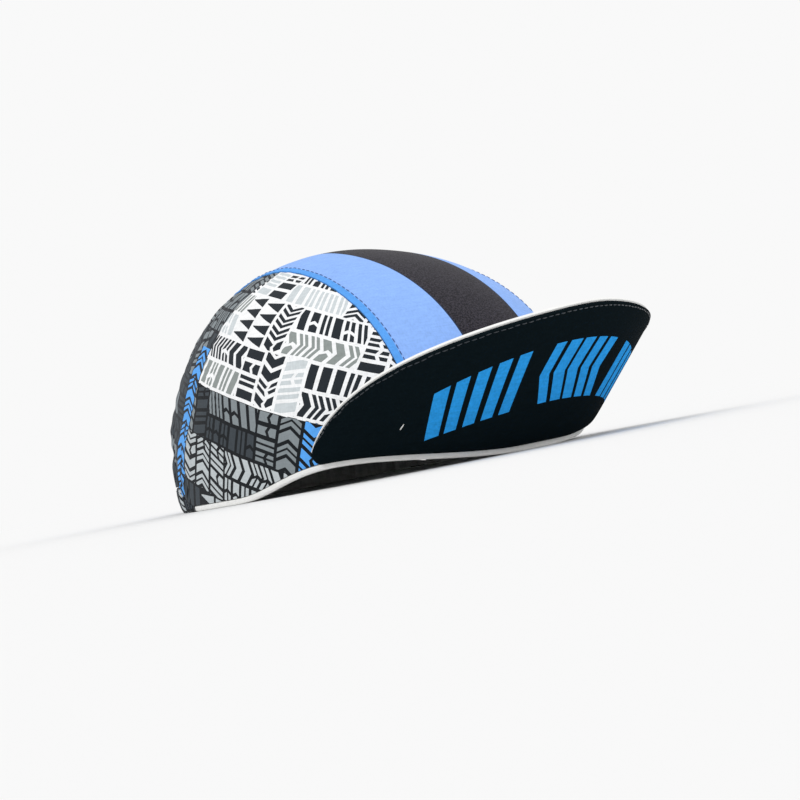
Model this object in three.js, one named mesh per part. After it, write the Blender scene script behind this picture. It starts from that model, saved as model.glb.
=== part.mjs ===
// A three-panel cycling cap in the shape that a head gives it, with its peak turned up, on its rim.
// Millimetres, +Z up. The front is -Y and the wearer's left is +X.
// Each piece is a sheet of cloth with a real wall, and neighbours keep a small gap where they are sewn.

import * as THREE from "three";
import { mergeVertices } from "three/addons/utils/BufferGeometryUtils.js";

// Rim and crown, measured over the cloth. Front and back lengths run from the widest place of the rim.
const rimWidth = 158;
const rimFront = 92.5;
const rimBack = 106.5;
const crownHeight = 102;
const foreheadSquareness = 2.4;
const napeSquareness = 2.2;

// The azimuth of the middle of the back, in degrees from the middle of the forehead.
const nape = 180;

// Cloth walls, and the gap that is left where two pieces are sewn together.
const crownCloth = 1.2;
const peakCloth = 1.2;
const sweatbandCloth = 1.1;
const sewnGap = 0.3;

// Centre panel: half its width at the forehead and at the nape, and its topstitched edge.
const centreHalfFront = 50;
const centreHalfBack = 38;
const stitchedEdge = 2.8;
const stitchedEdgeRise = 0.5;

// Rim line: the sweatband's rolled edge shows below the cloth, and the temples lift off the surface.
const rolledEdge = 2.6;
const templeLift = 7.5;
const templeLiftAt = 57;
const templeLiftForward = 50;
const templeLiftBackward = 36;
const sweatbandHeight = 24;
const sweatbandRound = 0.6;

// Elastic casing across the nape: degrees each side of the back, height, thickness and gathers.
const casingHalfAngle = 60;
const casingTaper = 16;
const casingHeight = 12;
const casingThickness = 3.2;
const casingGathers = 26;
const casingGatherDepth = 0.9;
const casingCrown = 0.4;
const casingRound = 0.7;
const gatherDepth = 1.5;
const gatherHeight = 34;
const gatherTaper = 18;
const gatherEndMargin = 4;

// Peak: degrees each side of the front, length over the middle and at its blunt ends, and degrees
// that it is turned up.
const peakHalfAngle = 59;
const peakLength = 63;
const peakEndLength = 7;
const peakFullness = 2;
const peakRaise = 50;
const peakBendRadius = 5;
const peakRootHeight = 3.4;
const peakLip = 0.6;

// Level curves of the crown. Height is a share of crownHeight, and the reaches are shares of the rim's
// lengths: forward, backward and to the side. The back bulges over the elastic before it closes.
const crownLevels = [
  { height: 0.0, front: 1.0, back: 0.99, side: 1.0 },
  { height: 0.1, front: 0.999, back: 1.012, side: 1.008 },
  { height: 0.2, front: 0.992, back: 1.01, side: 1.012 },
  { height: 0.35, front: 0.956, back: 0.968, side: 1.008 },
  { height: 0.5, front: 0.889, back: 0.888, side: 0.982 },
  { height: 0.65, front: 0.775, back: 0.772, side: 0.916 },
  { height: 0.8, front: 0.588, back: 0.61, side: 0.78 },
  { height: 0.9, front: 0.395, back: 0.455, side: 0.604 },
  { height: 0.96, front: 0.225, back: 0.31, side: 0.412 },
  { height: 1.0, front: 0.0, back: 0.0, side: 0.0 },
];

// Soft folds where the cloth slackens over the elastic, the same on both sides. The place along the rim
// and the half length are in degrees from the middle of the back, the height is a share of crownHeight,
// and slant is in millimetres of rise per degree. Half width and depth are in millimetres.
const slackFolds = [
  { fromBack: 62, height: 0.4, halfLength: 24, halfWidth: 9, slant: 0.1, depth: 1.5 },
  { fromBack: 37, height: 0.28, halfLength: 21, halfWidth: 8, slant: -0.15, depth: 1.9 },
  { fromBack: 34, height: 0.5, halfLength: 28, halfWidth: 10, slant: 0.1, depth: 1.7 },
  { fromBack: 48, height: 0.66, halfLength: 24, halfWidth: 10, slant: -0.2, depth: 1.1 },
];

const steps = {
  sideColumns: 42,
  sideRows: 13,
  centreRows: 34,
  centreInner: 12,
  sweatbandColumns: 48,
  peakColumns: 34,
  peakRows: 5,
  samplesPerGather: 3,
};

const colours = {
  printBlue: 0x8db6f7,
  printGround: 0x9aa3aa,
  white: 0xf2f2f0,
  black: 0x101418,
};

const degrees = Math.PI / 180;
const up = new THREE.Vector3(0, 0, 1);
const heart = new THREE.Vector3(0, 0, 0.3 * crownHeight);

const smooth = (from, to, x) => THREE.MathUtils.smoothstep(x, from, to);
const mix = THREE.MathUtils.lerp;
const evenly = (from, to, count) => Array.from({ length: count + 1 }, (_, i) => mix(from, to, i / count));

// Reaches are interpolated as squares, because these fall to zero at the top with a finite slope.
const levelCurve = new THREE.CubicInterpolant(
  crownLevels.map((level) => level.height),
  crownLevels.flatMap((level) => [level.front ** 2, level.back ** 2, level.side ** 2]),
  3,
);

function reachesAt(height) {
  const share = THREE.MathUtils.clamp(height / crownHeight, 0, 1);
  const [front, back, side] = levelCurve.evaluate(share).map((square) => Math.sqrt(Math.max(square, 0)));
  return { front: front * rimFront, back: back * rimBack, side: (side * rimWidth) / 2, share };
}

// How far out a point is on its own level: 1 on the crown, less inside it.
function fullness({ x, y, z }) {
  if (z >= crownHeight) return Infinity;
  const reaches = reachesAt(z);
  const lengthwise = y < 0 ? reaches.front : reaches.back;
  const squareness = mix(y < 0 ? foreheadSquareness : napeSquareness, 2, reaches.share);
  return (Math.abs(x) / reaches.side) ** squareness + (Math.abs(y) / lengthwise) ** squareness;
}

// The point where a ray from inside the crown comes out of it.
function leaveCrown(origin, direction) {
  let inside = 0;
  let outside = 2 * (rimBack + crownHeight);
  const point = new THREE.Vector3();
  for (let halving = 0; halving < 34; halving++) {
    const middle = (inside + outside) / 2;
    point.copy(direction).multiplyScalar(middle).add(origin);
    if (fullness(point) < 1) inside = middle;
    else outside = middle;
  }
  return point;
}

// The crown's outward direction at one of its points, from two rays beside the one that meets it.
function crownNormal(point) {
  const ray = point.clone().sub(heart).normalize();
  const aside = new THREE.Vector3(-ray.y, ray.x, 0);
  if (aside.length() < 1e-3) aside.set(1, 0, 0);
  aside.normalize();
  const above = ray.clone().cross(aside);
  const small = 0.01;
  const beside = [aside, above].map((way) => {
    const before = leaveCrown(heart, ray.clone().addScaledVector(way, -small).normalize());
    const after = leaveCrown(heart, ray.clone().addScaledVector(way, small).normalize());
    return after.sub(before);
  });
  const normal = beside[0].cross(beside[1]).normalize();
  return normal.dot(ray) < 0 ? normal.negate() : normal;
}

// The crown's outline at one height and azimuth, 0 at the forehead and 90 at the wearer's left.
function crownAt(azimuth, height) {
  const direction = new THREE.Vector3(Math.sin(azimuth * degrees), -Math.cos(azimuth * degrees), 0);
  return leaveCrown(new THREE.Vector3(0, 0, height), direction);
}

const azimuthOf = ({ x, y }) => Math.atan2(x, -y) / degrees;
const fromBack = (azimuth) => Math.abs(nape - Math.abs(azimuth));

// A hump of height 1 that falls to 0 at one unit on both sides of its middle.
const hump = (x) => (Math.abs(x) < 1 ? Math.cos((x * Math.PI) / 2) ** 2 : 0);

// How far the rim stands off the surface: only about the temples, beside the ends of the peak.
function rimLift(azimuth) {
  const aside = Math.abs(azimuth) - templeLiftAt;
  return templeLift * hump(aside / (aside < 0 ? templeLiftForward : templeLiftBackward));
}

// The lower edge of the crown's cloth: above the rolled edge, and above the casing at the nape.
function hemHeight(azimuth) {
  const casingShare = 1 - smooth(casingHalfAngle - casingTaper, casingHalfAngle, fromBack(azimuth));
  return mix(rolledEdge, casingHeight + sewnGap, casingShare) + rimLift(azimuth);
}

// How deep the slack folds are at a point of the crown.
function slack({ x, y, z }) {
  const back = fromBack(azimuthOf({ x, y }));
  return slackFolds.reduce((sum, fold) => {
    const along = back - fold.fromBack;
    const across = z - fold.height * crownHeight - fold.slant * along;
    return sum + fold.depth * hump(along / fold.halfLength) * hump(across / fold.halfWidth);
  }, 0);
}

// How deep the gathers are that the elastic pulls into the cloth above the casing.
function gather({ x, y, z }) {
  const back = fromBack(azimuthOf({ x, y }));
  const end = casingHalfAngle - gatherEndMargin;
  const across = 1 - smooth(end - gatherTaper, end, back);
  const rise = THREE.MathUtils.clamp((z - casingHeight) / gatherHeight, 0, 1);
  const wave = Math.cos((back / casingHalfAngle) * (casingGathers / 4) * 2 * Math.PI);
  return gatherDepth * across * (1 - rise) ** 2 * (0.5 + 0.5 * wave);
}

// A closed sheet from two grids of points of the same size, its outer and its inner face.
// Rows of points that meet in one place are merged, so that a sheet may end in a tip.
function sheet(outer, inner) {
  const rows = outer.length;
  const columns = outer[0].length;
  const points = [...outer.flat(), ...inner.flat()];
  const at = (face, row, column) => face * rows * columns + row * columns + column;
  const triangles = [];
  const quad = (a, b, c, d) => triangles.push([a, b, c], [a, c, d]);
  for (let row = 0; row + 1 < rows; row++) {
    for (let column = 0; column + 1 < columns; column++) {
      quad(at(0, row, column), at(0, row, column + 1), at(0, row + 1, column + 1), at(0, row + 1, column));
      quad(at(1, row, column), at(1, row + 1, column), at(1, row + 1, column + 1), at(1, row, column + 1));
    }
    quad(at(0, row, 0), at(0, row + 1, 0), at(1, row + 1, 0), at(1, row, 0));
    const last = columns - 1;
    quad(at(0, row, last), at(1, row, last), at(1, row + 1, last), at(0, row + 1, last));
  }
  for (let column = 0; column + 1 < columns; column++) {
    quad(at(0, 0, column), at(1, 0, column), at(1, 0, column + 1), at(0, 0, column + 1));
    const last = rows - 1;
    quad(at(0, last, column), at(0, last, column + 1), at(1, last, column + 1), at(1, last, column));
  }
  const raw = new THREE.BufferGeometry();
  raw.setAttribute("position", new THREE.Float32BufferAttribute(points.flatMap((p) => p.toArray()), 3));
  raw.setIndex(triangles.flat());
  const merged = mergeVertices(raw, 1e-3);
  const index = [...merged.index.array];
  const kept = [];
  for (let i = 0; i < index.length; i += 3) {
    const [a, b, c] = index.slice(i, i + 3);
    if (a !== b && b !== c && c !== a) kept.push(a, b, c);
  }
  merged.setIndex(kept);
  merged.computeVertexNormals();
  return merged;
}

// Crown cloth from a grid of points: folded, gathered, raised where raiseOf says, and given a wall.
function crownCloths(grid, raiseOf) {
  const faces = { outer: [], inner: [] };
  grid.forEach((points, row) => {
    const normals = points.map(crownNormal);
    const settled = points.map((point, i) =>
      point.clone().addScaledVector(normals[i], -gather(point) - slack(point)),
    );
    const outer = settled.map((point, i) => point.clone().addScaledVector(normals[i], raiseOf(row, i)));
    faces.outer.push(outer);
    faces.inner.push(settled.map((point, i) => point.clone().addScaledVector(normals[i], -crownCloth)));
  });
  return sheet(faces.outer, faces.inner);
}

const centreHalfAt = (along) => mix(centreHalfFront, centreHalfBack, smooth(0, 1, along));

// A point on the crown's lengthwise line that is x to the left, along from 0 at the front hem to 1 behind.
function lengthwise(x, along) {
  const turnAt = (sign) => {
    let azimuth = 0;
    for (let round = 0; round < 4; round++) {
      const height = hemHeight(sign < 0 ? azimuth : nape - Math.abs(azimuth));
      const edge = leaveCrown(new THREE.Vector3(x, 0, height), new THREE.Vector3(0, sign, 0));
      azimuth = Math.atan2(Math.abs(x), Math.abs(edge.y)) / degrees;
    }
    const height = hemHeight(sign < 0 ? azimuth : nape - azimuth);
    const edge = leaveCrown(new THREE.Vector3(x, 0, height), new THREE.Vector3(0, sign, 0));
    return Math.atan2(height - heart.z, -edge.y);
  };
  const turn = mix(turnAt(-1), turnAt(1) + (turnAt(1) < 0 ? 2 * Math.PI : 0), along);
  const origin = new THREE.Vector3(x, 0, heart.z);
  return leaveCrown(origin, new THREE.Vector3(0, -Math.cos(turn), Math.sin(turn)));
}

// The middle strip of the crown, forehead to nape, with the folded edges that its seams run through.
function centrePanel() {
  const grid = [];
  const insets = [0, stitchedEdge, stitchedEdge + 2 * stitchedEdgeRise];
  for (let row = 0; row <= steps.centreRows; row++) {
    const along = row / steps.centreRows;
    const half = centreHalfAt(along) - sewnGap / 2;
    const left = insets.map((inset) => half - inset);
    const innerHalf = left[left.length - 1];
    const inner = evenly(innerHalf, -innerHalf, steps.centreInner).slice(1, -1);
    const stations = [...left, ...inner, ...left.map((x) => -x).reverse()].reverse();
    grid.push(stations.map((x) => lengthwise(x, along)));
  }
  const last = grid[0].length - 1;
  const raised = (_, column) => (Math.min(column, last - column) < 2 ? stitchedEdgeRise : 0);
  return crownCloths(grid, raised);
}

// A side of the crown, from its seam with the centre panel down to the rim, with a tip at both ends.
function sidePanel(side) {
  const grid = [];
  const seam = (along) => lengthwise(side * (centreHalfAt(along) + sewnGap / 2), along);
  const foremost = azimuthOf(seam(0));
  const hindmost = azimuthOf(seam(1));
  for (let column = 0; column <= steps.sideColumns; column++) {
    // Columns crowd towards the back, where the gathers are.
    const along = 1 - (1 - column / steps.sideColumns) ** 1.5;
    const top = seam(along);
    const azimuth = mix(foremost, hindmost, along);
    const bottom = crownAt(azimuth, hemHeight(azimuth));
    const [low, high] = [bottom, top].map((point) => point.clone().sub(heart).normalize());
    const arc = low.angleTo(high);
    const points = [];
    for (let row = 0; row <= steps.sideRows; row++) {
      const rise = row / steps.sideRows;
      if (row === 0 || arc < 1e-4) points.push(bottom.clone());
      else if (row === steps.sideRows) points.push(top.clone());
      else {
        const share = [1 - rise, rise].map((part) => Math.sin(part * arc) / Math.sin(arc));
        const ray = low.clone().multiplyScalar(share[0]).addScaledVector(high, share[1]).normalize();
        points.push(leaveCrown(heart, ray));
      }
    }
    grid.push(side > 0 ? points.reverse() : points);
  }
  return crownCloths(grid, () => 0);
}

// A band that follows the rim. Each row of its section gives a height above the rim line and how deep below
// the crown's surface its two faces lie there.
function rimBand(azimuths, section, ruffleAt, heightShareAt) {
  const faces = { outer: [], inner: [] };
  for (const azimuth of azimuths) {
    const lift = rimLift(azimuth);
    const rows = section.map((row) => {
      const height = lift + row.height * heightShareAt(azimuth);
      const edge = crownAt(azimuth, height);
      const outward = crownNormal(edge).setZ(0).normalize();
      const ruffle = ruffleAt(azimuth, row);
      return [row.outer, row.inner].map((depth) => edge.clone().addScaledVector(outward, ruffle - depth));
    });
    faces.outer.push(rows.map((row) => row[0]));
    faces.inner.push(rows.map((row) => row[1]));
  }
  return sheet(faces.outer, faces.inner);
}

// The degrees that one sewn gap takes up at the back of the rim.
const gapAngle = sewnGap / rimBack / degrees;

// The sweatband: it lines the forehead and sides, and rolls out below the cloth as a thin white edge.
function sweatband() {
  const behind = crownCloth + sewnGap;
  const depth = behind + sweatbandCloth;
  const section = [
    { height: 0, outer: sweatbandRound, inner: depth - sweatbandRound },
    { height: sweatbandRound, outer: 0, inner: depth },
    { height: rolledEdge - sewnGap, outer: 0, inner: depth },
    { height: rolledEdge - sewnGap / 2, outer: behind, inner: depth },
    { height: 0.5 * sweatbandHeight, outer: behind, inner: depth },
    { height: sweatbandHeight, outer: behind, inner: depth },
  ];
  const end = nape - casingHalfAngle - gapAngle;
  return rimBand(evenly(end, -end, steps.sweatbandColumns), section, () => 0, () => 1);
}

// The casing with the elastic in it, gathered into close ruffles across the nape.
function elasticCasing() {
  const section = [
    { height: 0, outer: casingRound, inner: casingThickness - casingRound },
    { height: 0.1 * casingHeight, outer: 0, inner: casingThickness },
    { height: 0.5 * casingHeight, outer: -casingCrown, inner: casingThickness },
    { height: 0.9 * casingHeight, outer: 0, inner: casingThickness },
    { height: casingHeight, outer: casingRound, inner: casingThickness - casingRound },
  ];
  const end = casingHalfAngle - gapAngle;
  const azimuths = evenly(nape + end, nape - end, casingGathers * steps.samplesPerGather);
  const ruffle = (azimuth) => {
    const across = smooth(0, casingHalfAngle / casingGathers, casingHalfAngle - Math.abs(nape - azimuth));
    const wave = Math.cos(((azimuth - nape) / casingHalfAngle) * (casingGathers / 2) * 2 * Math.PI);
    return -casingGatherDepth * across * (0.5 - 0.5 * wave);
  };
  const heightShare = (azimuth) => (hemHeight(azimuth) - rimLift(azimuth) - sewnGap) / casingHeight;
  return rimBand(azimuths, section, ruffle, heightShare);
}

// How long the peak is at a share of the way from its middle to its end.
const peakLengthAt = (share) => mix(peakLength, peakEndLength, Math.abs(share) ** peakFullness);

// A point of the peak's middle layer in its own section: out from the crown, and up from its root.
// The cloth leaves the rim level, bends up over peakBendRadius and runs straight from there.
function peakSection(travel) {
  const raise = peakRaise * degrees;
  const bend = peakBendRadius * raise;
  const turned = Math.min(travel / peakBendRadius, raise);
  const straight = Math.max(travel - bend, 0);
  return {
    out: peakBendRadius * Math.sin(turned) + straight * Math.cos(raise),
    rise: peakBendRadius * (1 - Math.cos(turned)) + straight * Math.sin(raise),
    turned,
  };
}

// One cloth layer of the peak. Its faces lie at two depths below the middle layer, towards the underside.
function peakLayer(nearDepth, farDepth, lip) {
  const faces = { near: [], far: [] };
  for (const share of evenly(-1, 1, steps.peakColumns)) {
    const azimuth = share * peakHalfAngle;
    const root = crownAt(azimuth, peakRootHeight + rimLift(azimuth));
    const outward = crownNormal(root).setZ(0).normalize();
    root.addScaledVector(outward, sewnGap + stitchedEdgeRise);
    const length = peakLengthAt(share) + lip;
    const bend = peakBendRadius * peakRaise * degrees;
    const travels = [0, 0.5 * bend, bend, ...evenly(bend, length, steps.peakRows).slice(1)];
    const sections = travels.map(peakSection);
    const face = (depth) =>
      sections.map(({ out, rise, turned }) =>
        root
          .clone()
          .addScaledVector(outward, out + depth * Math.sin(turned))
          .addScaledVector(up, rise - depth * Math.cos(turned)),
      );
    faces.near.push(face(nearDepth));
    faces.far.push(face(farDepth));
  }
  return sheet(faces.near, faces.far);
}

function clothMesh(name, geometry, colour) {
  const material = new THREE.MeshStandardMaterial({ color: colour, roughness: 0.85, metalness: 0, name });
  const mesh = new THREE.Mesh(geometry, material);
  mesh.name = name;
  return mesh;
}

const halfGap = sewnGap / 2;
const cap = new THREE.Group();
cap.add(
  clothMesh("centre_panel", centrePanel(), colours.printBlue),
  clothMesh("side_panel_right", sidePanel(-1), colours.printGround),
  clothMesh("side_panel_left", sidePanel(1), colours.printGround),
  clothMesh("sweatband", sweatband(), colours.white),
  clothMesh("elastic_casing", elasticCasing(), colours.printGround),
  clothMesh("peak_underside", peakLayer(halfGap, halfGap + peakCloth, 0), colours.black),
  clothMesh("peak_topside", peakLayer(-halfGap - peakCloth, -halfGap, peakLip), colours.white),
);

// The origin is the middle of the part's box, at the surface that the rim stands on.
const box = new THREE.Box3().setFromObject(cap);
cap.position.set(0, -(box.min.y + box.max.y) / 2, 0);

const part = new THREE.Group();
part.add(cap);
export default part;
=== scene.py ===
import math

import bmesh
import bpy
import numpy as np
from mathutils import Matrix, Vector
from mathutils.bvhtree import BVHTree


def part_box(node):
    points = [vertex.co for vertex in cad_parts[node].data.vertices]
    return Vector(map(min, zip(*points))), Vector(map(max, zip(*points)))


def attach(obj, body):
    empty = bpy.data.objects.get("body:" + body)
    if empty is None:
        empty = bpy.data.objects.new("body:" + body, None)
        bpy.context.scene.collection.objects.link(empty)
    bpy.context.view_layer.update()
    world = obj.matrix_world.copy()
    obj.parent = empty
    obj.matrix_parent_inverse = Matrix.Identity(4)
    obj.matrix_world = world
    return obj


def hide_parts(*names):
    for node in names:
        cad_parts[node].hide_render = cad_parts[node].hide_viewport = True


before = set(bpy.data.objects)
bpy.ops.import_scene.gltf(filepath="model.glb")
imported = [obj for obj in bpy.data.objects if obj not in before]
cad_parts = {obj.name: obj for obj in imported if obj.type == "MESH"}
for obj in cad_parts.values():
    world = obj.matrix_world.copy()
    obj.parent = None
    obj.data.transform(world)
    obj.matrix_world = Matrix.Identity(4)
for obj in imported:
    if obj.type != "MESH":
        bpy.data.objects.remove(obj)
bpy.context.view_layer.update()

# The camera stands on the same side of the cap as the photograph's, with most of its roll, but just above
# the floor that the cap rests on. It looks at the middle of the rim.
rim_front = 0.0925
rim_middle = Vector((0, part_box("sweatband")[0][1] + rim_front, 0))
camera_distance = 0.6
camera_height = 0.008
camera_azimuth = math.radians(-43.7)
camera_roll = math.radians(11)
pixels_per_metre = 2220
rim_middle_pixel = (383, 475)
frame_pixels = 800

camera_rise = math.asin(camera_height / camera_distance)
level_right = Vector((math.cos(camera_azimuth), math.sin(camera_azimuth), 0))
towards_camera = Vector((math.sin(camera_azimuth), -math.cos(camera_azimuth), math.tan(camera_rise)))
towards_camera.normalize()
level_up = towards_camera.cross(level_right)
camera_right = level_right * math.cos(camera_roll) - level_up * math.sin(camera_roll)
camera_up = level_right * math.sin(camera_roll) + level_up * math.cos(camera_roll)
camera = bpy.data.objects.new("camera", bpy.data.cameras.new("camera"))
bpy.context.collection.objects.link(camera)
camera.matrix_world = Matrix.Translation(rim_middle + towards_camera * camera_distance) @ Matrix(
    (camera_right, camera_up, towards_camera)).transposed().to_4x4()
camera.data.sensor_width = 36
camera.data.lens = 36 * pixels_per_metre * camera_distance / frame_pixels
camera.data.shift_x = 0.5 - rim_middle_pixel[0] / frame_pixels
camera.data.shift_y = rim_middle_pixel[1] / frame_pixels - 0.5
camera.data.clip_start = 0.01
bpy.context.scene.camera = camera

# The middle panel of the crown is one strip of printed cotton from forehead to nape: a black stripe
# between two blue ones. Both its edges are folded over the seam allowances and topstitched, so they stand
# a little proud.
crown_height = 0.102
heart_share = 0.3
heart = rim_middle + Vector((0, 0, heart_share * crown_height))
centre_half_front = 0.050
centre_half_back = 0.038
stripe_half_front = 0.0200
stripe_half_back = 0.0160
stitched_edge = 0.0024
front_hem_turn, back_hem_turn = math.radians(-17.5), math.radians(189.7)
seam_length = 0.29
seam_pucker = 0.0092
wave_periods = (0.043, 0.071, 0.029)
side_pucker, centre_pucker = (0.00035, 0.0012), (0.00018, 0.00035)
pucker_reach = (0.005, 0.015)
slack_from, slack_span = 0.36, 0.34
rolled_edge, casing_top = 0.0026, 0.0123
casing_full, casing_end = math.radians(44), math.radians(60)
nape_radius = 0.100
nape_gather = 0.0080
gather_depth, gather_fade = 0.0050, 0.046
gather_span, gather_end = math.radians(61), 0.2
gather_width, gather_fall = 0.85, 1.2
gather_at_hem, gather_onset = 0.34, 0.0045
merge_distance = 1e-5
quad_bend, quad_skew = math.radians(40), math.radians(70)
sharp_fold, cut_edge = math.radians(45), math.radians(60)
faces_inward = -0.2


def linear(code):
    """A colour written as in the photograph's pixels, as the shader wants it."""
    shares = [int(code[i:i + 2], 16) / 255 for i in (1, 3, 5)]
    return [(c / 12.92 if c <= 0.04045 else ((c + 0.055) / 1.055) ** 2.4) for c in shares] + [1]


def smooth_step(x):
    x = np.clip(x, 0, 1)
    return x * x * (3 - 2 * x)


def points_of(piece):
    places = np.empty(3 * len(piece.data.vertices))
    piece.data.vertices.foreach_get("co", places)
    return places.reshape(-1, 3)


def move_points(piece, places):
    piece.data.vertices.foreach_set("co", places.reshape(-1))
    piece.data.update()


def lay_map(piece, name, across, along):
    """A UV map in metres, from two numbers for each point of the piece."""
    corners = np.empty(len(piece.data.loops), dtype=np.int32)
    piece.data.loops.foreach_get("vertex_index", corners)
    flat = piece.data.uv_layers.new(name=name)
    flat.data.foreach_set("uv", np.stack([across[corners], along[corners]], -1).reshape(-1))


def cloth_from(node, name, levels=2, roll=0.0004):
    """The sheet of a CAD node as new cloth: clean quads, smoothed, with its cut edges rolled over."""
    cut = bmesh.new()
    cut.from_mesh(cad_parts[node].data)
    bmesh.ops.remove_doubles(cut, verts=cut.verts, dist=merge_distance)
    bmesh.ops.join_triangles(cut, faces=cut.faces, angle_face_threshold=quad_bend,
                             angle_shape_threshold=quad_skew)
    crease = cut.edges.layers.float.new("crease_edge")
    for edge in cut.edges:
        if len(edge.link_faces) == 2 and edge.calc_face_angle() > sharp_fold:
            edge[crease] = 1
    mesh = bpy.data.meshes.new(name)
    cut.to_mesh(mesh)
    cut.free()
    piece = bpy.data.objects.new(name, mesh)
    bpy.context.collection.objects.link(piece)
    rounding = piece.modifiers.new("rounding", "SUBSURF")
    rounding.levels = rounding.render_levels = levels
    finished = piece.evaluated_get(bpy.context.evaluated_depsgraph_get())
    piece.data = bpy.data.meshes.new_from_object(finished)
    piece.modifiers.clear()
    sewn = bmesh.new()
    sewn.from_mesh(piece.data)
    edges = [e for e in sewn.edges if len(e.link_faces) == 2 and e.calc_face_angle() > cut_edge]
    bmesh.ops.bevel(sewn, geom=edges, offset=roll, segments=2, profile=0.5, affect="EDGES", material=-1,
                    clamp_overlap=True)
    sewn.to_mesh(piece.data)
    sewn.free()
    piece.data.name = name
    piece.data.shade_smooth()
    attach(piece, "root")
    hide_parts(node)
    return piece


def mark_reverse(piece):
    """Marks the points of the crown cloth's inner face, which isn't printed."""
    normals = np.empty(3 * len(piece.data.vertices))
    piece.data.vertices.foreach_get("normal", normals)
    outward = points_of(piece) - np.array(heart)
    facing = np.einsum("ij,ij->i", normals.reshape(-1, 3), outward)
    inner = facing < faces_inward * np.linalg.norm(outward, axis=1)
    marks = piece.data.attributes.new("reverse", "FLOAT", "POINT")
    marks.data.foreach_set("value", inner.astype(np.float32))


def share_along(places):
    """How far each point is from the front hem to the back hem, by its turn about the crown's middle."""
    turn = np.arctan2(places[:, 2] - heart.z, heart.y - places[:, 1])
    turn = np.where(turn < -math.pi / 2, turn + 2 * math.pi, turn)
    return np.clip((turn - front_hem_turn) / (back_hem_turn - front_hem_turn), 0, 1)


def between(front, back, share):
    return front + (back - front) * smooth_step(share)


def centre_half(share):
    """Half the middle panel's width, forehead to nape."""
    return between(centre_half_front, centre_half_back, share)


def waves(along, pitch, side=1):
    """Uneven waves from 0 to 1, by a distance along a seam or hem."""
    turn = 2 * math.pi * along
    drift = np.sin(turn / wave_periods[0] + 1.3 * side)
    drift = drift + 0.7 * np.sin(turn / wave_periods[1] + 0.4 * side)
    height = 0.72 + 0.28 * np.sin(turn / wave_periods[2] + 2.1 * side)
    return height * (0.5 + 0.5 * np.cos(turn / pitch + 0.9 * drift))


def hem_height(from_nape):
    """The lower edge of the crown's cloth, above the casing at the nape and the rolled edge elsewhere."""
    gone = smooth_step((from_nape - casing_full) / (casing_end - casing_full))
    return casing_top + (rolled_edge - casing_top) * gone


def creases(from_nape, side):
    """The depth of the elastic's gathers, creases between round folds, and how far up they run."""
    count = from_nape * nape_radius / nape_gather + 0.3 * np.sin(9 * from_nape + side) + 0.25
    which = np.floor(count + 0.5) + 3.7 * side
    strength = 0.7 + 0.3 * np.sin(2.7 * which + 1.0)
    fold = 1 - np.abs(np.sin(math.pi * count)) ** gather_width
    ends = smooth_step((gather_span - from_nape) / gather_end)
    fall = gather_fade * (0.62 + 0.38 * np.sin(4.1 * which + 2.0))
    return gather_depth * fold * strength * ends, fall


def pucker(piece):
    """Moves the crown cloth: puckers it beside the seams, and draws it in above the elastic at the nape."""
    places = points_of(piece)
    share = share_along(places)
    side = np.where(places[:, 0] < 0, -1.0, 1.0)
    from_seam = np.abs(centre_half(share) - np.abs(places[:, 0]))
    slack = smooth_step((share - slack_from) / slack_span)
    side_deep = side_pucker[0] + side_pucker[1] * slack
    centre_deep = centre_pucker[0] + centre_pucker[1] * slack
    deep = np.where(np.abs(places[:, 0]) > centre_half(share), side_deep, centre_deep)
    reach = pucker_reach[0] + pucker_reach[1] * slack
    beside = (0.45 + 0.55 * smooth_step(from_seam / 0.003)) * np.exp(-from_seam / reach)
    hem_fade = smooth_step((places[:, 2] - 0.004) / 0.010) * smooth_step(share / 0.04)
    move = deep * beside * hem_fade * (waves(share * seam_length, seam_pucker, side) - 0.5)
    away = places - np.array(heart)
    from_nape = math.pi - np.abs(np.arctan2(away[:, 0], -away[:, 1]))
    depth, fall = creases(from_nape, side)
    over_hem = places[:, 2] - hem_height(from_nape)
    above = np.clip(over_hem / fall, 0, 1)
    onset = gather_at_hem + (1 - gather_at_hem) * smooth_step(over_hem / gather_onset)
    drawn_in = depth * (1 - above) ** gather_fall * onset
    level_away = away * (1, 1, 0) / np.maximum(np.hypot(away[:, 0], away[:, 1]), 1e-6)[:, None]
    moved = places + away / np.linalg.norm(away, axis=1)[:, None] * move[:, None]
    move_points(piece, moved - level_away * drawn_in[:, None])


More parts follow.
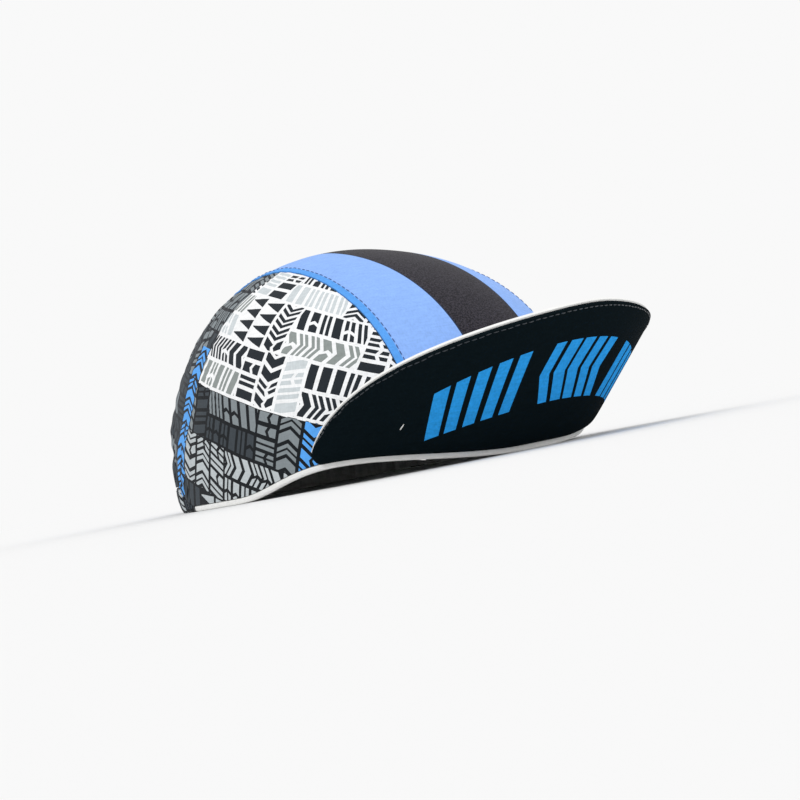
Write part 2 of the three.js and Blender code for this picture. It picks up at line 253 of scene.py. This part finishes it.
class Shader:
    """A material's nodes, with short ways to add sums, masks and mixes."""

    def __init__(self, name):
        self.material = bpy.data.materials.new(name)
        self.material.use_nodes = True
        self.nodes, self.links = self.material.node_tree.nodes, self.material.node_tree.links
        self.surface = self.nodes["Principled BSDF"]

    def add(self, kind, inputs=None, **settings):
        node = self.nodes.new(kind)
        for key, value in settings.items():
            setattr(node, key, value)
        for key, value in (inputs or {}).items():
            self.feed(node.inputs[key], value)
        return node

    def feed(self, socket, value):
        if isinstance(value, bpy.types.NodeSocket):
            self.links.new(value, socket)
        else:
            socket.default_value = value

    def sum(self, operation, *values):
        node = self.add("ShaderNodeMath", operation=operation)
        for socket, value in zip(node.inputs, values):
            self.feed(socket, value)
        return node.outputs[0]

    def mix(self, factor, first, second):
        node = self.add("ShaderNodeMix", data_type="RGBA")
        for key, value in ((0, factor), (6, first), (7, second)):
            self.feed(node.inputs[key], value)
        return node.outputs[2]

    def ramp(self, factor, stops, interpolation="LINEAR"):
        node = self.add("ShaderNodeValToRGB", {"Fac": factor})
        node.color_ramp.interpolation = interpolation
        while len(node.color_ramp.elements) < len(stops):
            node.color_ramp.elements.new(1)
        for element, (place, colour) in zip(node.color_ramp.elements, stops):
            element.position, element.color = place, colour
        return node.outputs[0]

    def under(self, value, limit, soft):
        """1 where value is under limit, 0 over it, with a short soft step."""
        node = self.add("ShaderNodeMapRange", interpolation_type="SMOOTHSTEP")
        for socket, given in zip(node.inputs, (value, limit - soft, limit + soft, 1.0, 0.0)):
            self.feed(socket, given)
        return node.outputs[0]

    def flat_map(self, name):
        """The two numbers of a piece's UV map."""
        laid = self.add("ShaderNodeUVMap", uv_map=name).outputs[0]
        parts = self.add("ShaderNodeSeparateXYZ", {0: laid})
        return parts.outputs[0], parts.outputs[1]


class Group(Shader):
    """A shader node group, built with the same short ways."""

    def __init__(self, name, inputs, outputs):
        self.group = bpy.data.node_groups.new(name, "ShaderNodeTree")
        for direction, sockets in (("INPUT", inputs), ("OUTPUT", outputs)):
            for socket, kind in sockets.items():
                self.group.interface.new_socket(name=socket, in_out=direction, socket_type=kind)
        self.nodes, self.links = self.group.nodes, self.group.links
        self.given = self.nodes.new("NodeGroupInput").outputs
        self.result = self.nodes.new("NodeGroupOutput").inputs


thread_stretch = 0.16
fading_scale, fading_depth = 26.0, 0.12
smoothest, rougher_by = 0.72, 0.2
number_kind, colour_kind = "NodeSocketFloat", "NodeSocketColor"
weave = Group("cotton_weave", {"Colour": colour_kind, "Thread": number_kind, "Fleck": number_kind},
              {"Colour": colour_kind, "Height": number_kind, "Roughness": number_kind})
place = weave.add("ShaderNodeTexCoord").outputs["Object"]
threads = weave.sum("DIVIDE", 1.0, weave.given["Thread"])
runs = []
for stretch in ((1.0, 1.0, thread_stretch), (thread_stretch, thread_stretch, 1.0)):
    turned = weave.add("ShaderNodeVectorMath", {0: place, 1: stretch}, operation="MULTIPLY").outputs[0]
    noise = weave.add("ShaderNodeTexNoise", {"Vector": turned, "Scale": threads, "Detail": 2.0})
    runs.append(noise.outputs["Fac"])
woven = weave.sum("ADD", weave.sum("MULTIPLY", runs[0], 0.5), weave.sum("MULTIPLY", runs[1], 0.5))
noise = weave.add("ShaderNodeTexNoise", {"Vector": place, "Scale": fading_scale, "Detail": 3.0})
fading = noise.outputs["Fac"]
tone = weave.sum("ADD", weave.sum("MULTIPLY", weave.sum("SUBTRACT", woven, 0.5), weave.given["Fleck"]),
                 weave.sum("MULTIPLY", weave.sum("SUBTRACT", fading, 0.5), fading_depth))
value = weave.sum("ADD", tone, 1.0)
shaded = weave.add("ShaderNodeHueSaturation", {"Color": weave.given["Colour"], "Value": value})
weave.feed(weave.result["Colour"], shaded.outputs[0])
weave.feed(weave.result["Height"], woven)
rough = weave.sum("ADD", weave.sum("MULTIPLY", woven, rougher_by), smoothest)
weave.feed(weave.result["Roughness"], rough)


def finish_cloth(shader, colour, thread=0.0008, fleck=0.5, depth=0.00025, sheen=0.08, specular=0.12):
    """Puts woven cloth of that colour on the shader's surface."""
    cloth = shader.add("ShaderNodeGroup", node_tree=weave.group)
    for key, value in (("Colour", colour), ("Thread", thread), ("Fleck", fleck)):
        shader.feed(cloth.inputs[key], value)
    raised = {"Height": cloth.outputs["Height"], "Strength": 0.6, "Distance": depth}
    bump = shader.add("ShaderNodeBump", raised)
    finish = {"Base Color": cloth.outputs["Colour"], "Roughness": cloth.outputs["Roughness"],
              "Normal": bump.outputs[0], "Sheen Weight": sheen, "Sheen Roughness": 0.5,
              "Specular IOR Level": specular}
    for key, value in finish.items():
        shader.feed(shader.surface.inputs[key], value)
    return shader.material


centre = cloth_from("centre_panel", "centre_panel_cloth", levels=3)
mark_reverse(centre)
places = points_of(centre)
share = share_along(places)
from_seam = centre_half(share) - np.abs(places[:, 0])
from_stripe = np.abs(places[:, 0]) - between(stripe_half_front, stripe_half_back, share)
lay_map(centre, "strip", from_seam, from_stripe)
colour_edge, stripe_edge, stripe_border = 0.0002, 0.00012, 0.0003
speckle_scale = 1500.0
reverse_white, stripe_shows_through = linear("#E6E7E6"), 0.15
striped = Shader("striped_cloth")
to_seam, to_stripe = striped.flat_map("strip")
blue = striped.mix(striped.under(to_seam, stitched_edge, colour_edge), linear("#8FB7F9"), linear("#5AA2F0"))
in_stripe = striped.under(to_stripe, 0.0, stripe_edge)
border = striped.under(striped.sum("ABSOLUTE", to_stripe), stripe_border, stripe_edge)
place = striped.add("ShaderNodeTexCoord").outputs["Object"]
noise = striped.add("ShaderNodeTexNoise", {"Vector": place, "Scale": speckle_scale, "Detail": 1.0})
speckled = striped.under(noise.outputs["Fac"], 0.5, 0.12)
heather = striped.mix(speckled, linear("#3A373F"), linear("#1B1920"))
colour = striped.mix(border, striped.mix(in_stripe, blue, heather), linear("#22304A"))
centre.data.materials.clear()
reverse = striped.add("ShaderNodeAttribute", attribute_name="reverse").outputs["Fac"]
colour = striped.mix(reverse, colour, striped.mix(stripe_shows_through, reverse_white, colour))
centre.data.materials.append(finish_cloth(striped, colour))
pucker(centre)

# Topstitching in navy thread holds down both folded edges of the middle panel. Each stitch is a short run
# of thread that dips into the cloth at its ends.
stitch_length = 0.0022
stitch_gap = 0.0008
thread_radius = 0.00021
stitch_inset = 0.0027
stitch_sunk = 0.35
seam_shares = (0.015, 0.990)
beyond = 0.25


def crown_point(skin, x, turn):
    """The crown's outer face on the lengthwise line at x, seen from its middle under the angle turn."""
    origin = Vector((x, heart.y, heart.z))
    outward = Vector((0, -math.cos(turn), math.sin(turn)))
    place, normal, _, _ = skin.ray_cast(origin + outward * beyond, -outward)
    return place, normal


def evenly_along(places, normals, pitch):
    """Points, normals and directions at an even pitch along a line, from points close together."""
    places, normals = np.array(places), np.array(normals)
    reached = np.concatenate([[0], np.cumsum(np.linalg.norm(np.diff(places, axis=0), axis=1))])
    stations = np.arange(pitch / 2, reached[-1], pitch)
    spread = []
    for part in (places, normals):
        spread.append(np.stack([np.interp(stations, reached, part[:, i]) for i in range(3)], -1))
    return spread[0], spread[1], np.gradient(spread[0], axis=0)


def sew(name, lines, colour, node, length=stitch_length, radius=thread_radius):
    """A row of stitches on each line, as one piece."""
    seam = bmesh.new()
    for places, normals, ways in lines:
        for place, normal, way in zip(places, normals, ways):
            way, normal = Vector(way).normalized(), Vector(normal).normalized()
            side = way.cross(normal).normalized()
            frame_of = Matrix((side, way.cross(side), way)).transposed().to_4x4()
            size = Matrix.Diagonal((radius * 1.15, radius, length / 2, 1))
            at = Matrix.Translation(Vector(place) + normal * radius * stitch_sunk)
            bmesh.ops.create_uvsphere(seam, u_segments=8, v_segments=7, radius=1,
                                      matrix=at @ frame_of @ size)
    piece = bpy.data.objects.new(name, bpy.data.meshes.new(name))
    seam.to_mesh(piece.data)
    seam.free()
    piece.data.shade_smooth()
    bpy.context.collection.objects.link(piece)
    thread = Shader(f"{name}_thread")
    place = thread.add("ShaderNodeTexCoord").outputs["Object"]
    noise = thread.add("ShaderNodeTexNoise", {"Vector": place, "Scale": 5200.0, "Detail": 1.0})
    twist = noise.outputs["Fac"]
    value = thread.sum("ADD", thread.sum("MULTIPLY", twist, 0.7), 0.65)
    shaded = thread.add("ShaderNodeHueSaturation", {"Color": linear(colour), "Value": value})
    bump = thread.add("ShaderNodeBump", {"Height": twist, "Strength": 0.5, "Distance": 0.0001})
    for key, value in (("Base Color", shaded.outputs[0]), ("Normal", bump.outputs[0]), ("Roughness", 0.55),
                       ("Sheen Weight", 0.3)):
        thread.feed(thread.surface.inputs[key], value)
    piece.data.materials.append(thread.material)
    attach(piece, "root")
    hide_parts(node)
    return piece


def skin_of(*pieces):
    """The faces of some pieces, ready to be met by rays."""
    joined = bmesh.new()
    for piece in pieces:
        joined.from_mesh(piece.data)
    tree = BVHTree.FromBMesh(joined)
    joined.free()
    return tree


centre_skin = skin_of(centre)
lines = []
for side in (-1, 1):
    met = []
    for share in np.linspace(*seam_shares, 500):
        x = side * (float(centre_half(share)) - stitch_inset)
        met.append(crown_point(centre_skin, x, front_hem_turn + (back_hem_turn - front_hem_turn) * share))
    met = [hit for hit in met if hit[0] is not None]
    lines.append(evenly_along(*zip(*met), stitch_length + stitch_gap))
sew("centre_seam_topstitch", lines, "#27508C", "centre_panel")

# The two side panels are cut from cotton printed all over with a patchwork of bars, slashes and chevrons,
# dark on white above and pale on black below. Inside, the cloth is unprinted and the pattern only shows
# through faintly.
print_radius = 0.090
print_climb = math.radians(23.6)
row_height = 12.4
patch_length, patch_height = 3 * row_height, 2 * row_height
bar_pitch = row_height / 2
white_from = 15.2
slate_behind = 31.0
column_width = 11.0
column_top = 31.0
column_lean = 0.15
patch_stagger = 0.54
blue_row = (-66.7, -41.9)
print_wander, bend_scale = 3.0, 38.0
print_shows_through = 0.1
print_seeds = {"right": 4, "left": 11, "casing": 7}
inks = {"charcoal": "#252B31", "grey": "#8F9694", "pale": "#CBD2D5", "dim": "#3C4349", "blue": "#5AA8F5",
        "mid": "#858D91", "light": "#BEC5C8", "white": "#F4F5F6", "black": "#15191D", "slate": "#26292F"}
ink = {name: linear(code) for name, code in inks.items()}


def chance(group, first, second, seed):
    """Three random numbers that stay the same all over one bar or row."""
    cell = group.add("ShaderNodeCombineXYZ", {0: first, 1: second, 2: seed}).outputs[0]
    spread = group.add("ShaderNodeTexWhiteNoise", {"Vector": cell}, noise_dimensions="3D")
    return group.add("ShaderNodeSeparateColor", {0: spread.outputs["Color"]}).outputs


def product(group, *factors):
    """The factors multiplied together."""
    result = factors[0]
    for factor in factors[1:]:
        result = group.sum("MULTIPLY", result, factor)
    return result


# One row of the print. Slot counts the bars along it, Tall runs from -0.5 to 0.5 across it, and Form says
# whether they are slashes, upright bars, chevrons or wedges. Way, 1 or -1, is the way that they point, and
# where Cuts is 1, some of them are split or broken.
bar_forms = {"slash": 0.38, "bar": 0.60, "chevron": 0.94}
slash_slant, chevron_slant, chevron_middle = 0.6, 1.15, 0.23
bar_half, bar_half_more, wedge_half, row_half = 0.31, 0.09, 0.47, 0.43
split_half, split_above = 0.085, 0.5
break_half, break_slant, broken_share = 0.07, 0.3, 0.3
bar_inputs = ("Slot", "Tall", "Form", "Way", "Cuts", "Row", "Seed")
bar_run = Group("run_of_bars", {key: number_kind for key in bar_inputs},
                {"Mask": number_kind, "Slot": number_kind})
calc = bar_run.sum
slot, tall, form, way, cuts, row_key, seed = (bar_run.given[key] for key in bar_inputs)
wide = calc("SUBTRACT", calc("FRACT", slot), 0.5)
steep = calc("ABSOLUTE", tall)
is_slash = calc("LESS_THAN", form, bar_forms["slash"])
slash = product(bar_run, is_slash, way, slash_slant, tall)
from_middle = calc("SUBTRACT", steep, chevron_middle)
is_chevron = calc("GREATER_THAN", form, bar_forms["bar"])
chevron = product(bar_run, is_chevron, way, chevron_slant, from_middle)
shifted = calc("ADD", slot, calc("ADD", slash, chevron))
off = calc("ABSOLUTE", calc("SUBTRACT", calc("FRACT", calc("ADD", shifted, 8.0)), 0.5))
size, cut = chance(bar_run, calc("FLOOR", shifted), row_key, seed)[:2]
bar = calc("LESS_THAN", off, calc("ADD", calc("MULTIPLY", size, bar_half_more), bar_half))
split = calc("MULTIPLY", calc("LESS_THAN", off, split_half), calc("GREATER_THAN", size, split_above))
from_break = calc("ABSOLUTE", calc("ADD", tall, calc("MULTIPLY", off, break_slant)))
broken = product(bar_run, calc("LESS_THAN", from_break, break_half), calc("LESS_THAN", cut, broken_share))
opened = calc("MULTIPLY", cuts, calc("MAXIMUM", split, broken))
strokes = calc("MULTIPLY", bar, calc("SUBTRACT", 1.0, opened))
taper = calc("ADD", calc("MULTIPLY", way, tall), 0.5)
wedge = calc("LESS_THAN", calc("ABSOLUTE", wide), calc("MULTIPLY", taper, wedge_half))
is_wedge = calc("GREATER_THAN", form, bar_forms["chevron"])
motif = calc("ADD", strokes, calc("MULTIPLY", is_wedge, calc("SUBTRACT", wedge, strokes)))
bar_run.feed(bar_run.result["Mask"], calc("MULTIPLY", motif, calc("LESS_THAN", steep, row_half)))
bar_run.feed(bar_run.result["Slot"], shifted)

# The patchwork sets such rows across and upright by turns, in patches staggered from level to level. Behind,
# a blue column runs up it, and one row at its front end is blue too.
patch_half, white_border = 0.488, 0.6
level_step, length_step = 53.0, 7.0
patch_inputs = ("Along", "Climb", "Seed")
patchwork = Group("bar_patchwork", {key: number_kind for key in patch_inputs}, {"Colour": colour_kind})
along, climb, seed = (patchwork.given[key] for key in patch_inputs)
calc = patchwork.sum
level = calc("DIVIDE", calc("SUBTRACT", climb, white_from), patch_height)
level_number = calc("FLOOR", level)
staggered = calc("ADD", along, calc("MULTIPLY", level_number, patch_stagger * patch_length))
length = calc("DIVIDE", staggered, patch_length)
length_number = calc("FLOOR", length)
patch_along = calc("MULTIPLY", calc("FRACT", length), patch_length)
patch_up = calc("MULTIPLY", calc("FRACT", level), patch_height)
skewed = calc("ADD", along, calc("MULTIPLY", calc("SUBTRACT", climb, column_top), column_lean))
behind = calc("GREATER_THAN", skewed, slate_behind)
in_column = product(patchwork, behind, calc("LESS_THAN", skewed, slate_behind + column_width),
                    calc("LESS_THAN", climb, column_top))
upright = calc("MAXIMUM", calc("FLOORED_MODULO", calc("ADD", level_number, length_number), 2.0), in_column)


def either(switch, if_not, if_so):
    """One value where the switch is 0, the other where it is 1."""
    return calc("ADD", if_not, calc("MULTIPLY", switch, calc("SUBTRACT", if_so, if_not)))


reach = either(upright, patch_along, patch_up)
across = calc("DIVIDE", either(upright, patch_up, patch_along), row_height)
across = either(in_column, across, calc("DIVIDE", calc("SUBTRACT", skewed, slate_behind), column_width))
row = calc("FLOOR", across)
row_key = calc("ADD", calc("ADD", row, calc("MULTIPLY", length_number, length_step)),
               calc("MULTIPLY", level_number, level_step))
form, turn, shade = chance(patchwork, row_key, 3.0, seed)[:3]
form = either(in_column, form, 0.8)
way = calc("SUBTRACT", calc("MULTIPLY", calc("GREATER_THAN", turn, 0.5), 2.0), 1.0)
bars = patchwork.add("ShaderNodeGroup", node_tree=bar_run.group)
slot_at, tall_at = calc("DIVIDE", reach, bar_pitch), calc("SUBTRACT", calc("FRACT", across), 0.5)
for key, value in zip(bar_inputs, (slot_at, tall_at, form, way, 1.0, row_key, seed)):
    patchwork.feed(bars.inputs[key], value)
patch_end = calc("DIVIDE", reach, either(upright, patch_length, patch_height))
inked = calc("MULTIPLY", bars.outputs["Mask"],
             calc("LESS_THAN", calc("ABSOLUTE", calc("SUBTRACT", patch_end, 0.5)), patch_half))
ink_shares = {"upper": ((0, "charcoal"), (0.60, "grey"), (0.84, "pale")),
              "first": ((0, "dim"), (0.5, "mid")),
              "last": ((0, "dim"), (0.3, "light")),
              "back": ((0, "dim"), (0.45, "mid"))}
picked = {}
for zone, shares in ink_shares.items():
    picked[zone] = patchwork.ramp(shade, [(start, ink[name]) for start, name in shares], "CONSTANT")
dark_zone = calc("LESS_THAN", climb, white_from - white_border)
lower_ink = patchwork.mix(calc("LESS_THAN", level_number, -1.5), picked["first"], picked["last"])
in_blue_row = calc("MULTIPLY", calc("GREATER_THAN", along, blue_row[0]),
                   calc("LESS_THAN", along, blue_row[1]))
lower_ink = patchwork.mix(in_blue_row, lower_ink, ink["blue"])
chosen = patchwork.mix(behind, patchwork.mix(dark_zone, picked["upper"], lower_ink),
                       patchwork.mix(in_column, picked["back"], ink["blue"]))
ground = patchwork.mix(behind, patchwork.mix(dark_zone, ink["white"], ink["black"]), ink["slate"])
patchwork.feed(patchwork.result["Colour"], patchwork.mix(inked, ground, chosen))


def side_print(name, seed_number):
    """The printed cloth of one side. The cloth's own stretch bends the rows a little."""
    printed = Shader(name)
    place = printed.add("ShaderNodeTexCoord").outputs["Object"]
    bend = printed.add("ShaderNodeTexNoise", {"Vector": place, "Scale": bend_scale, "Detail": 1.0})
    bends = printed.add("ShaderNodeSeparateColor", {0: bend.outputs["Color"]}).outputs
    pattern = printed.add("ShaderNodeGroup", node_tree=patchwork.group)
    for key, metres, wander in zip(("Along", "Climb"), printed.flat_map("print"), bends):
        wander = printed.sum("MULTIPLY", printed.sum("SUBTRACT", wander, 0.5), print_wander)
        millimetres = printed.sum("MULTIPLY", metres, 1000.0)
        printed.feed(pattern.inputs[key], printed.sum("ADD", millimetres, wander))
    printed.feed(pattern.inputs["Seed"], float(seed_number))
    reverse = printed.add("ShaderNodeAttribute", attribute_name="reverse").outputs["Fac"]
    through = printed.mix(print_shows_through, reverse_white, pattern.outputs[0])
    return finish_cloth(printed, printed.mix(reverse, pattern.outputs[0], through))


def print_places(places, side):
    """Each point's place in the print, with the side of the crown laid flat about its middle."""
    away = (places - np.array(heart)) * (side, 1, 1)
    turn = np.arccos(np.clip(away[:, 0] / np.linalg.norm(away, axis=1), -1, 1))
    level = np.maximum(np.hypot(away[:, 1], away[:, 2]), 1e-6)
    back, up = (print_radius * turn * away[:, i] / level for i in (1, 2))
    cosine, sine = math.cos(print_climb), math.sin(print_climb)
    return back * cosine + up * sine, up * cosine - back * sine


panels = []
for side, name in ((-1, "right"), (1, "left")):
    panel = cloth_from(f"side_panel_{name}", f"side_panel_{name}_cloth", levels=3)
    mark_reverse(panel)
    lay_map(panel, "print", *print_places(points_of(panel), side))
    pucker(panel)
    panel.data.materials.clear()
    panel.data.materials.append(side_print(f"printed_cloth_{name}", print_seeds[name]))
    panels.append(panel)

# Inside, each of the two long seams is covered by a flat tape of white cotton, laid over the raw edges. It
# ends short of both hems.
tape_half_width = 0.0055
tape_depth = 0.0001
tape_thickness = 0.0006
tape_ends = (0.155, 0.950)
crown_skin = skin_of(centre, *panels)


def inner_point(x, turn):
    """The crown's inner face on the lengthwise line at x."""
    outward = Vector((0, -math.cos(turn), math.sin(turn)))
    place, normal, _, _ = crown_skin.ray_cast(Vector((x, heart.y, heart.z)), outward)
    return place


for side, name in ((-1, "right"), (1, "left")):
    tape = bmesh.new()
    bmesh.ops.create_grid(tape, x_segments=3, y_segments=90, size=0.5)
    for corner in tape.verts:
        share = tape_ends[0] + (tape_ends[1] - tape_ends[0]) * (corner.co.y + 0.5)
        turn = front_hem_turn + (back_hem_turn - front_hem_turn) * share
        middle = float(centre_half(share))
        off = 2 * corner.co.x * tape_half_width
        if abs(off) < 0.5 * tape_half_width:
            off = math.copysign(0.5 * tape_half_width, off)
        place = inner_point(side * (middle + off), turn)
        corner.co = place + (heart - place).normalized() * (tape_depth + tape_thickness)
    bmesh.ops.recalc_face_normals(tape, faces=tape.faces)
    piece = bpy.data.objects.new(f"seam_tape_{name}", bpy.data.meshes.new(f"seam_tape_{name}"))
    tape.to_mesh(piece.data)
    tape.free()
    bpy.context.collection.objects.link(piece)
    wall = piece.modifiers.new("wall", "SOLIDIFY")
    wall.thickness, wall.offset = tape_thickness, 0
    piece.data.shade_smooth()
    piece.data.materials.append(finish_cloth(Shader(f"white_tape_{name}"), linear("#EDEEEC"), fleck=0.2))
    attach(piece, "root")
    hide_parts(f"side_panel_{name}")

# The casing is the hem of the crown turned up over the elastic. The print is squeezed by the gathers
# there, and a row of navy stitches holds its upper edge.
casing_squeeze = 1.7
casing_print = (0.300, 0.0357)
casing_gather = (0.18, 0.25)
casing = cloth_from("elastic_casing", "elastic_casing_cloth", levels=3)
places = points_of(casing)
away = places - np.array(rim_middle)
round_nape = np.arctan2(away[:, 0], away[:, 1])
side = np.where(places[:, 0] < 0, -1.0, 1.0)
depth, _ = creases(np.abs(round_nape), side)
full = np.sin(math.pi * np.clip(places[:, 2] / hem_height(np.abs(round_nape)), 0, 1)) ** 0.5
flat_away = away * (1, 1, 0) / np.linalg.norm(away[:, :2], axis=1)[:, None]
along_nape = round_nape * nape_radius * casing_squeeze
lay_map(casing, "print", along_nape - casing_print[0], places[:, 2] - casing_print[1])
drawn_in = depth * (casing_gather[0] + casing_gather[1] * full)
move_points(casing, places - flat_away * drawn_in[:, None])
mark_reverse(casing)
casing.data.materials.clear()
casing.data.materials.append(side_print("printed_cloth_casing", print_seeds["casing"]))

casing_stitch_drop = 0.0019
casing_stitch_end = math.radians(56)
casing_skin = skin_of(casing)
met = []
for azimuth in np.linspace(-casing_stitch_end, casing_stitch_end, 500):
    outward = Vector((math.sin(azimuth), math.cos(azimuth), 0))
    height = Vector((0, 0, float(hem_height(abs(azimuth))) - casing_stitch_drop))
    place, normal, _, _ = casing_skin.ray_cast(rim_middle + outward * beyond + height, -outward)
    if place is not None:
        met.append((place, normal))
line = evenly_along(*zip(*met), stitch_length + stitch_gap)
sew("casing_topstitch", [line], "#1D2A3E", "elastic_casing")

# The sweatband is a white cotton band sewn inside the forehead and sides. Its rolled lower edge shows
# below the printed cloth as a thin white line.
sweatband = cloth_from("sweatband", "sweatband_cloth")
band = finish_cloth(Shader("white_cotton_band"), linear("#F2F2F0"), thread=0.0011, fleck=0.25, depth=0.0004)
sweatband.data.materials.clear()
sweatband.data.materials.append(band)

# The peak is two faces of cloth sewn edge to edge: black on the underside, which faces out while the peak
# is turned up, with a run of printed blue bars and chevrons fanned across it, and plain white on top.
peak_half_angle = 59.0
peak_length, peak_end_length = 0.063, 0.007
peak_root = 0.0045
peak_raise = math.radians(50)
motif_half_angle = 33.0
motif_slots = 17
motif_run = 6
motif_middle, motif_droop, motif_height = 0.475, 0.07, 0.50
motif_forms = (0.2, 0.7)
motif_seed = 5.0
underside = cloth_from("peak_underside", "peak_underside_cloth")
places = points_of(underside)
angle = np.degrees(np.arctan2(places[:, 0], rim_middle.y - places[:, 1]))
out = (places[:, 2] - peak_root) / math.sin(peak_raise)
length = peak_length + (peak_end_length - peak_length) * (angle / peak_half_angle) ** 2
slot_at = (angle / motif_half_angle + 1) * motif_slots / 2
tall_at = (out / length - motif_middle + motif_droop * (angle / motif_half_angle) ** 2) / motif_height
lay_map(underside, "arc", slot_at, tall_at)
black = Shader("black_cloth")
slot, tall = black.flat_map("arc")
bars = black.add("ShaderNodeGroup", node_tree=bar_run.group)
run = black.sum("FLOOR", black.sum("DIVIDE", black.sum("ADD", slot, 0.5), motif_run))
every_other = black.sum("FLOORED_MODULO", run, 2.0)
form = black.sum("ADD", black.sum("MULTIPLY", every_other, motif_forms[1] - motif_forms[0]), motif_forms[0])
for key, value in zip(bar_inputs, (slot, tall, form, -1.0, 0.0, run, motif_seed)):
    black.feed(bars.inputs[key], value)
bar_at = bars.outputs["Slot"]
in_run = black.sum("LESS_THAN", black.sum("FLOORED_MODULO", bar_at, motif_run), motif_run - 1.0)
from_middle = black.sum("ABSOLUTE", black.sum("SUBTRACT", bar_at, motif_slots / 2))
in_arc = black.sum("LESS_THAN", from_middle, motif_slots / 2)
in_motif = product(black, bars.outputs["Mask"], in_run, in_arc)
colour = black.mix(in_motif, linear("#0D161A"), linear("#2E9CE8"))
underside.data.materials.clear()
underside.data.materials.append(finish_cloth(black, colour, fleck=0.9, sheen=0, specular=0.01))

# A row of stitches in dark thread follows the peak's outer edge, where the two faces are sewn together.
# One loose end of white thread lies on the underside, on the wearer's right.
peak_stitch_inset = 0.0017
peak_stitch_end = math.radians(57)
edge_window = 1.0
tick_turn, tick_height = math.radians(-38), 0.0176
tick_run = (0.024, 0.0028)
tick_length, tick_radius = 0.0032, 0.00022
peak_skin = skin_of(underside)


def peak_point(turn, height):
    """The peak's underside at that turn from the front and that height."""
    outward = Vector((math.sin(turn), -math.cos(turn), 0))
    origin = rim_middle + outward * beyond + Vector((0, 0, height))
    place, normal, _, _ = peak_skin.ray_cast(origin, -outward)
    return place, normal


met = []
for turn in np.linspace(-peak_stitch_end, peak_stitch_end, 600):
    edge_height = places[np.abs(angle - math.degrees(turn)) < edge_window, 2].max()
    place, normal = peak_point(turn, edge_height - peak_stitch_inset)
    if place is not None:
        met.append((place, normal))
line = evenly_along(*zip(*met), stitch_length + stitch_gap)
sew("peak_edge_topstitch", [line], "#15212B", "peak_underside")
tick, tick_normal = peak_point(tick_turn, tick_height)
tick_way = peak_point(tick_turn + tick_run[0], tick_height + tick_run[1])[0] - tick
sew("loose_thread_end", [([tick], [tick_normal], [tick_way])], "#E9E9E4", "peak_underside",
    length=tick_length, radius=tick_radius)

# The peak's top face is plain white cotton. It lies towards the crown while the peak is turned up, so
# that only its edge shows from the front.
topside = cloth_from("peak_topside", "peak_topside_cloth")
topside.data.materials.clear()
topside.data.materials.append(finish_cloth(Shader("white_cloth"), linear("#F4F4F2"), fleck=0.2))

# The studio is a pale floor that runs into a backdrop of the same white, with soft light from all round
# and two broad lamps.
air_strength = 0.80
floor_white = 0.90
lamps = {"key": (-85, 50, 0.75, 35), "fill": (20, 38, 0.35, 50)}
floor_mesh = bmesh.new()
bmesh.ops.create_grid(floor_mesh, x_segments=1, y_segments=1, size=30)
floor = bpy.data.objects.new("floor", bpy.data.meshes.new("floor"))
floor_mesh.to_mesh(floor.data)
floor_mesh.free()
bpy.context.collection.objects.link(floor)
pale = Shader("pale_floor")
pale.feed(pale.surface.inputs["Base Color"], (floor_white, floor_white, floor_white, 1))
pale.feed(pale.surface.inputs["Roughness"], 1.0)
pale.feed(pale.surface.inputs["Specular IOR Level"], 0.0)
floor.data.materials.append(pale.material)

lit_by_lamps = 0
for name, (azimuth, rise, strength, spread) in lamps.items():
    lamp = bpy.data.objects.new(name, bpy.data.lights.new(name, "SUN"))
    bpy.context.collection.objects.link(lamp)
    a, e = math.radians(azimuth), math.radians(rise)
    way = Vector((math.sin(a) * math.cos(e), -math.cos(a) * math.cos(e), math.sin(e)))
    lamp.rotation_euler = way.to_track_quat("Z", "Y").to_euler()
    lamp.data.energy = strength
    lamp.data.angle = math.radians(spread)
    lit_by_lamps += strength * math.sin(e) / math.pi

# The backdrop is as bright as the floor far from the cap, so that no horizon shows.
room = bpy.data.worlds.new("room")
bpy.context.scene.world = room
room.use_nodes = True
air, seen = room.node_tree.nodes["Background"], room.node_tree.nodes["World Output"]
backdrop = room.node_tree.nodes.new("ShaderNodeBackground")
backdrop.inputs["Color"].default_value = air.inputs["Color"].default_value = (1, 1, 1, 1)
air.inputs["Strength"].default_value = air_strength
backdrop.inputs["Strength"].default_value = floor_white * (air_strength + lit_by_lamps)
either_sky = room.node_tree.nodes.new("ShaderNodeMixShader")
by_camera = room.node_tree.nodes.new("ShaderNodeLightPath").outputs["Is Camera Ray"]
for socket, source in zip(either_sky.inputs, (by_camera, air.outputs[0], backdrop.outputs[0])):
    room.node_tree.links.new(source, socket)
room.node_tree.links.new(either_sky.outputs[0], seen.inputs["Surface"])
bpy.context.scene.view_settings.view_transform = "Standard"
